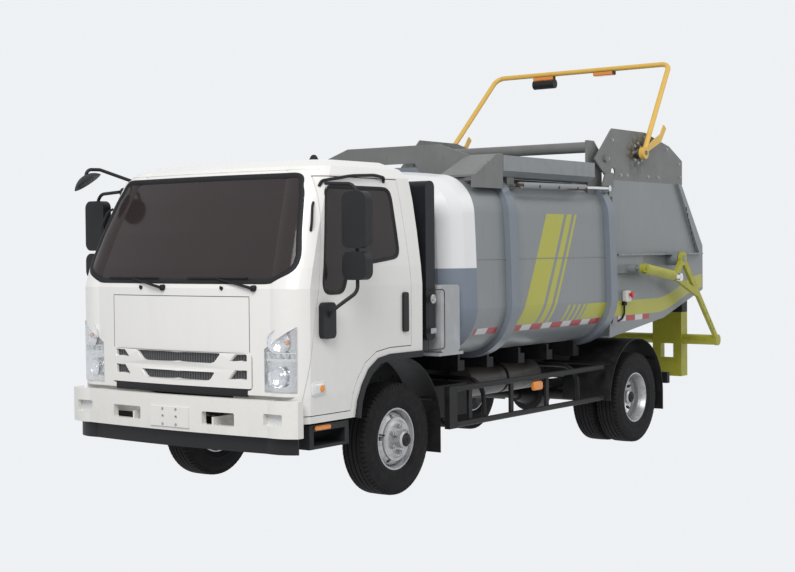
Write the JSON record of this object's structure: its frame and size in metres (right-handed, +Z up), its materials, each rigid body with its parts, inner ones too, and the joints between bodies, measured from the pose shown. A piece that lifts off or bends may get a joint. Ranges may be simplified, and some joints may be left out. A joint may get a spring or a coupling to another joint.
{
  "type": "garbage truck",
  "caption": "Light cab-over garbage truck with a grey barrel container, rear tailgate and side-armed bin lifter.",
  "frame": {"origin": "on the ground under the middle of the truck, by length and width", "axes": "+X to the truck's left side, +Y to its rear, +Z up; the cab faces -Y"},
  "size_m": [2.57, 6.194, 3.396],
  "materials": {
    "amber_lamp": "gloss",
    "arm_steel": "satin",
    "black_plastic": "matte",
    "body_grey": "satin",
    "cab_paint": "gloss",
    "chassis_black": "satin",
    "clear_lamp": "gloss",
    "dark_glass": "gloss",
    "grey_plastic": "matte",
    "hoop_yellow": "satin",
    "iron": "matte",
    "lift_green": "satin",
    "rod_chrome": "polished",
    "seat_cloth": "matte",
    "tank_paint": "satin",
    "tread_rubber": "matte",
    "wheel_silver": "satin"
  },
  "bodies": {
    "chassis": {"frame": "chassis_black", "engine_block": "iron", "axles": "chassis_black", "bumper": "cab_paint", "valance": "black_plastic", "fog_lamps": "clear_lamp", "mudguards": "black_plastic", "side_guards": "chassis_black", "battery_box": "black_plastic", "chassis_tanks": "tank_paint", "subframe": "chassis_black", "container_floor": "body_grey", "container_sides": "body_grey", "container_roof": "body_grey", "container_front": "body_grey", "container_ribs": "body_grey", "front_hood": "body_grey", "side_covers": "body_grey", "hinge_brackets": "arm_steel", "intake_duct": "black_plastic", "locker": "grey_plastic", "lifting_eyes": "body_grey"},
    "cab": {"cab_shell": "cab_paint", "cab_glass": "dark_glass", "headlamps": "clear_lamp", "grille": "cab_paint", "cab_trim": "black_plastic", "cab_inside": "seat_cloth"},
    "left_door": {"door_left": "cab_paint", "door_glass_left": "dark_glass", "mirror_left": "black_plastic"},
    "right_door": {"door_right": "cab_paint", "door_glass_right": "dark_glass", "mirror_right": "black_plastic"},
    "left_knuckle": {"knuckle_left": "iron"},
    "right_knuckle": {"knuckle_right": "iron"},
    "left_front_wheel": {"front_wheel_left": "wheel_silver", "front_tyre_left": "tread_rubber"},
    "right_front_wheel": {"front_wheel_right": "wheel_silver", "front_tyre_right": "tread_rubber"},
    "left_rear_wheels": {"rear_wheel_left": "wheel_silver", "rear_tyre_left": "tread_rubber"},
    "right_rear_wheels": {"rear_wheel_right": "wheel_silver", "rear_tyre_right": "tread_rubber"},
    "tailgate": {"tailgate_skin": "body_grey", "tailgate_sides": "body_grey", "head_plates": "arm_steel", "tail_lamps": "black_plastic"},
    "gate_barrels": {"gate_ram_barrels": "arm_steel"},
    "gate_rods": {"gate_ram_rods": "rod_chrome"},
    "lifter": {"lift_arms": "lift_green"},
    "lift_barrels": {"lift_ram_barrels": "lift_green"},
    "lift_rods": {"lift_ram_rods": "rod_chrome"},
    "hoop_frame": {"hoop": "hoop_yellow", "hoop_lamps": "amber_lamp"}
  },
  "joints": [
    {"name": "cab_tilt", "type": "hinge", "parent": "chassis", "child": "cab", "pos_m": [0, -2.818, 0.82], "axis": [1, 0, 0], "range_deg": [0, 45]},
    {"name": "left_door_swing", "type": "hinge", "parent": "cab", "child": "left_door", "pos_m": [1.006, -2.928, 1.3], "axis": [0, 0, -1], "range_deg": [0, 70]},
    {"name": "right_door_swing", "type": "hinge", "parent": "cab", "child": "right_door", "pos_m": [-1.006, -2.928, 1.3], "axis": [0, 0, 1], "range_deg": [0, 70]},
    {"name": "left_steer", "type": "hinge", "parent": "chassis", "child": "left_knuckle", "pos_m": [0.722, -1.838, 0.388], "axis": [0, 0, 1], "range_deg": [-30, 30]},
    {"name": "right_steer", "type": "hinge", "parent": "chassis", "child": "right_knuckle", "pos_m": [-0.722, -1.838, 0.388], "axis": [0, 0, 1], "range_deg": [-30, 30]},
    {"name": "left_front_roll", "type": "hinge", "parent": "left_knuckle", "child": "left_front_wheel", "pos_m": [0.835, -1.838, 0.388], "axis": [1, 0, 0], "continuous": true},
    {"name": "right_front_roll", "type": "hinge", "parent": "right_knuckle", "child": "right_front_wheel", "pos_m": [-0.835, -1.838, 0.388], "axis": [1, 0, 0], "continuous": true},
    {"name": "left_rear_roll", "type": "hinge", "parent": "chassis", "child": "left_rear_wheels", "pos_m": [0.955, 1.522, 0.388], "axis": [1, 0, 0], "continuous": true},
    {"name": "right_rear_roll", "type": "hinge", "parent": "chassis", "child": "right_rear_wheels", "pos_m": [-0.955, 1.522, 0.388], "axis": [1, 0, 0], "continuous": true},
    {"name": "tailgate_lift", "type": "hinge", "parent": "chassis", "child": "tailgate", "pos_m": [0, 1.064, 2.438], "axis": [1, 0, 0], "range_deg": [0, 70]},
    {"name": "gate_ram_swing", "type": "hinge", "parent": "chassis", "child": "gate_barrels", "pos_m": [0, -0.388, 2.17], "axis": [1, 0, 0], "range_deg": [0, 4.79]},
    {"name": "gate_ram_stroke", "type": "slide", "parent": "gate_barrels", "child": "gate_rods", "axis": [0, 0.9999, 0.0106], "range_m": [0, 0.2693]},
    {"name": "lifter_swing", "type": "hinge", "parent": "tailgate", "child": "lifter", "pos_m": [0, 2.267, 1.585], "axis": [1, 0, 0], "range_deg": [0, 115]},
    {"name": "lift_ram_swing", "type": "hinge", "parent": "tailgate", "child": "lift_barrels", "pos_m": [0, 1.403, 1.51], "axis": [1, 0, 0], "range_deg": [0, 7.84]},
    {"name": "lift_ram_stroke", "type": "slide", "parent": "lift_barrels", "child": "lift_rods", "axis": [0, 0.9921, -0.1256], "range_m": [0, 0.3652]},
    {"name": "hoop_fold", "type": "hinge", "parent": "tailgate", "child": "hoop_frame", "pos_m": [0, 1.667, 2.512], "axis": [1, 0, 0], "range_deg": [0, 75]}
  ],
  "couplings": [
    {"joint": "right_steer", "follows": "left_steer", "ratio": 1},
    {"joint": "gate_ram_swing", "follows": "tailgate_lift", "ratio": 0.064079},
    {"joint": "gate_ram_stroke", "follows": "tailgate_lift", "m_per_rad": 0.21828},
    {"joint": "lift_ram_swing", "follows": "lifter_swing", "ratio": 0.065536},
    {"joint": "lift_ram_stroke", "follows": "lifter_swing", "m_per_rad": 0.18013}
  ]
}
